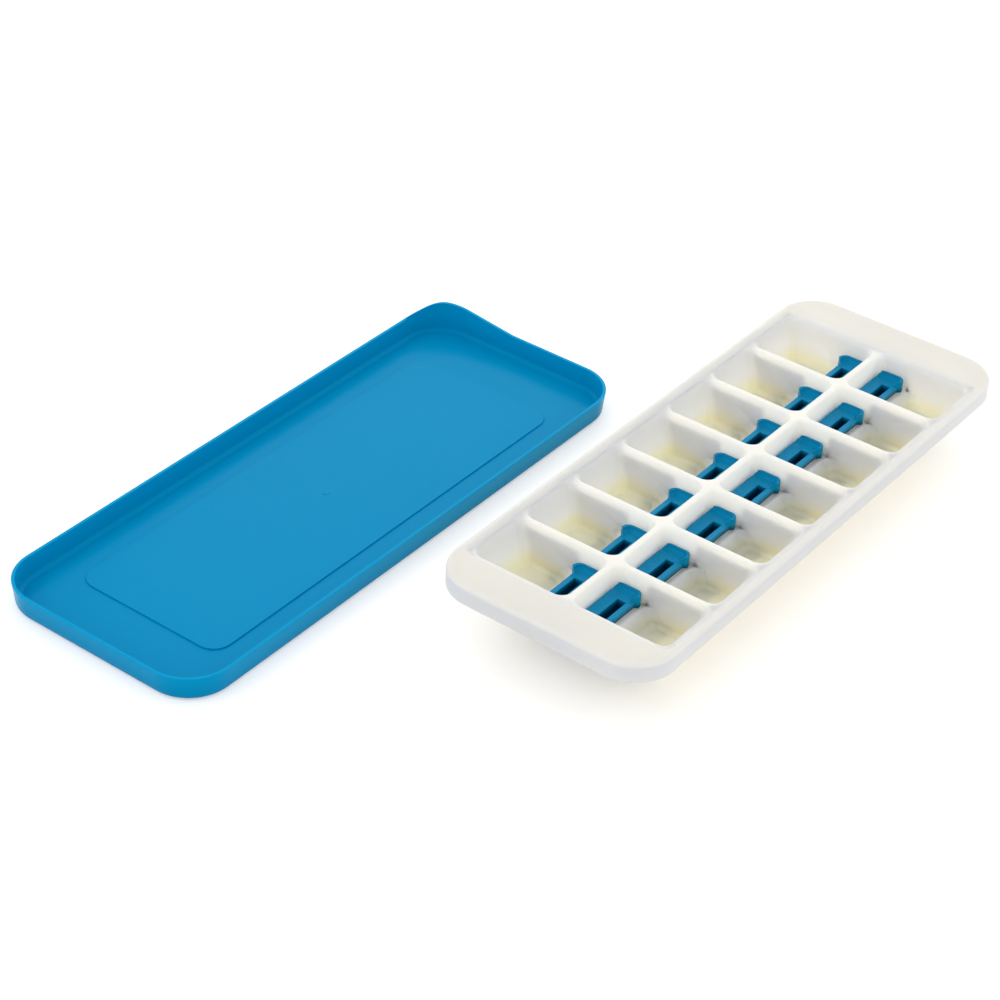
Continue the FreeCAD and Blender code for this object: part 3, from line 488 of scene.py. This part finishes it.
tray_piece = merged_copy("tray", "tray_moulding")
round_edges(tray_piece, tray_rule, SKIRT_ROUND)
finish_piece(tray_piece, "tray", ["tray"], tray_plastic)
print("tray faces", len(tray_piece.data.polygons))

# %% [markdown]
# ## Levers
# Each lever is one moulding. Its head rises from the plate in a hollow, so the upper edge of that
# slope is rounded most, and the edges at the plate's top a little less. All the others stay crisp,
# as they are where two halves of a mould meet.

# %% Levers
PLATE_TOP_Z = 29.1 * MM
HOLLOW_TOP_Z = 31.2 * MM
HOLLOW_ROUND = 0.6 * MM
PLATE_ROUND = 0.4 * MM
LEVER_ROUND = 0.2 * MM


def lever_rule(point):
    if near(point.z, HOLLOW_TOP_Z):
        return HOLLOW_ROUND
    if near(point.z, PLATE_TOP_Z):
        return PLATE_ROUND
    return LEVER_ROUND


lever_names = sorted(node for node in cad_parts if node.startswith("lever_"))
for node in lever_names:
    lever = merged_copy(node, node + "_moulding")
    round_edges(lever, lever_rule, HOLLOW_ROUND)
    finish_piece(lever, node, [node], lever_plastic)
print(len(lever_names), "levers")

# %% [markdown]
# ## Lid
# The lid is a shallow shell. All its edges get the same small rounding, narrow enough for the low
# step round its panel, which is only 0.8 mm high. At the middle of the flat sits the small round
# mark that the moulding gate leaves. A ray shot down at the middle finds the height for it.

# %% Lid
GATE_RADIUS = 2.0 * MM
GATE_TOP_RADIUS = 1.6 * MM
GATE_HEIGHT = 0.3 * MM
GATE_SIDES = 32
LID_ROUND = 0.25 * MM


def lid_rule(point):
    return LID_ROUND


def add_gate_mark():
    start = Vector((lid_centre.x, lid_centre.y, lid_high.z))
    place = lid_piece.ray_cast(start, Vector((0, 0, -1)))[1]
    form = bmesh.new()
    bmesh.ops.create_cone(form, cap_ends=True, segments=GATE_SIDES, radius1=GATE_RADIUS,
                          radius2=GATE_TOP_RADIUS, depth=2 * GATE_HEIGHT)
    bmesh.ops.translate(form, verts=form.verts, vec=place)
    mesh = bpy.data.meshes.new("lid_gate_mark")
    form.to_mesh(mesh)
    form.free()
    mark = bpy.data.objects.new("lid_gate_mark", mesh)
    scene.collection.objects.link(mark)
    mesh.materials.append(lid_plastic)
    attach(mark, "lid")
    return place


lid_piece = merged_copy("lid", "lid_moulding")
gate_place = add_gate_mark()
round_edges(lid_piece, lid_rule, LID_ROUND)
finish_piece(lid_piece, "lid", ["lid"], lid_plastic)
print("gate mark at height", round(gate_place.z * 1000, 2), "mm")

# %% [markdown]
# ## Seals
# Fourteen equal rings in a 2 by 7 pattern are what Geometry Nodes does best: one ring is swept
# along a rounded rectangle, and a grid of points carries it to every window. The sizes are inputs
# of the tree, measured from the frame, so the pattern follows the tray if that changes.

# %% Seals
SEAL_BAND = 1.0 * MM
SEAL_CORNER = 1.4 * MM
CORNER_POINTS = 6
seal_names = sorted(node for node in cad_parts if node.startswith("seal_"))
seal_boxes = [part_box(node) for node in seal_names]
seal_centres = [(low + high) / 2 for low, high in seal_boxes]
seal_size = seal_boxes[0][1] - seal_boxes[0][0]


def spread(axis):
    """Distance between the outermost seal centres along one axis, and their middle."""
    places = [centre[axis] for centre in seal_centres]
    return max(places) - min(places), (max(places) + min(places)) / 2


SEAL_INPUTS = [("Ring Length X", seal_size.x - SEAL_BAND),
               ("Ring Length Y", seal_size.y - SEAL_BAND),
               ("Corner", SEAL_CORNER), ("Band", SEAL_BAND), ("Thickness", seal_size.z),
               ("Spread X", spread(0)[0]), ("Spread Y", spread(1)[0])]


def make_seal_tree():
    tree = bpy.data.node_groups.new("seal_pattern", "GeometryNodeTree")
    for name, number in SEAL_INPUTS:
        tree.interface.new_socket(name, in_out="INPUT", socket_type="NodeSocketFloat")
    tree.interface.new_socket("Centre", in_out="INPUT", socket_type="NodeSocketVector")
    tree.interface.new_socket("Material", in_out="INPUT", socket_type="NodeSocketMaterial")
    tree.interface.new_socket("Geometry", in_out="OUTPUT", socket_type="NodeSocketGeometry")
    given = tree.nodes.new("NodeGroupInput").outputs
    path = tree.nodes.new("GeometryNodeCurvePrimitiveQuadrilateral")
    corners = tree.nodes.new("GeometryNodeFilletCurve")
    corners.mode = "POLY"
    corners.inputs["Count"].default_value = CORNER_POINTS
    profile = tree.nodes.new("GeometryNodeCurvePrimitiveQuadrilateral")
    sweep = tree.nodes.new("GeometryNodeCurveToMesh")
    grid = tree.nodes.new("GeometryNodeMeshGrid")
    grid.inputs["Vertices X"].default_value = 2
    grid.inputs["Vertices Y"].default_value = len(seal_names) // 2
    move = tree.nodes.new("GeometryNodeTransform")
    carry = tree.nodes.new("GeometryNodeInstanceOnPoints")
    solid = tree.nodes.new("GeometryNodeRealizeInstances")
    paint = tree.nodes.new("GeometryNodeSetMaterial")
    out = tree.nodes.new("NodeGroupOutput")
    links = tree.links
    links.new(given["Ring Length X"], path.inputs["Width"])
    links.new(given["Ring Length Y"], path.inputs["Height"])
    links.new(path.outputs["Curve"], corners.inputs["Curve"])
    links.new(given["Corner"], corners.inputs["Radius"])
    links.new(given["Band"], profile.inputs["Width"])
    links.new(given["Thickness"], profile.inputs["Height"])
    links.new(corners.outputs["Curve"], sweep.inputs["Curve"])
    links.new(profile.outputs["Curve"], sweep.inputs["Profile Curve"])
    links.new(given["Spread X"], grid.inputs["Size X"])
    links.new(given["Spread Y"], grid.inputs["Size Y"])
    links.new(grid.outputs["Mesh"], move.inputs["Geometry"])
    links.new(given["Centre"], move.inputs["Translation"])
    links.new(move.outputs["Geometry"], carry.inputs["Points"])
    links.new(sweep.outputs["Mesh"], carry.inputs["Instance"])
    links.new(carry.outputs["Instances"], solid.inputs["Geometry"])
    links.new(solid.outputs["Geometry"], paint.inputs["Geometry"])
    links.new(given["Material"], paint.inputs["Material"])
    links.new(paint.outputs["Geometry"], out.inputs["Geometry"])
    return tree


def make_seals():
    holder = bpy.data.objects.new("seal_holder", bpy.data.meshes.new("seal_holder"))
    scene.collection.objects.link(holder)
    pattern = holder.modifiers.new("seal_pattern", "NODES")
    pattern.node_group = make_seal_tree()
    centre = (spread(0)[1], spread(1)[1], seal_centres[0].z)
    values = dict(SEAL_INPUTS, Centre=centre, Material=seal_rubber)
    for item in pattern.node_group.interface.items_tree:
        if item.in_out == "INPUT":
            pattern[item.identifier] = values[item.name]
    bpy.context.view_layer.update()
    shaped = holder.evaluated_get(bpy.context.evaluated_depsgraph_get())
    mesh = bpy.data.meshes.new_from_object(shaped)
    bpy.data.objects.remove(holder)
    form = bmesh.new()
    form.from_mesh(mesh)
    bmesh.ops.recalc_face_normals(form, faces=form.faces)
    form.to_mesh(mesh)
    form.free()
    mesh.name = "lever_seals"
    seals = bpy.data.objects.new("lever_seals", mesh)
    scene.collection.objects.link(seals)
    return seals


seals = make_seals()
finish_piece(seals, "tray", seal_names, seal_rubber)
print(len(seal_names), "seals,", len(seals.data.polygons), "faces")
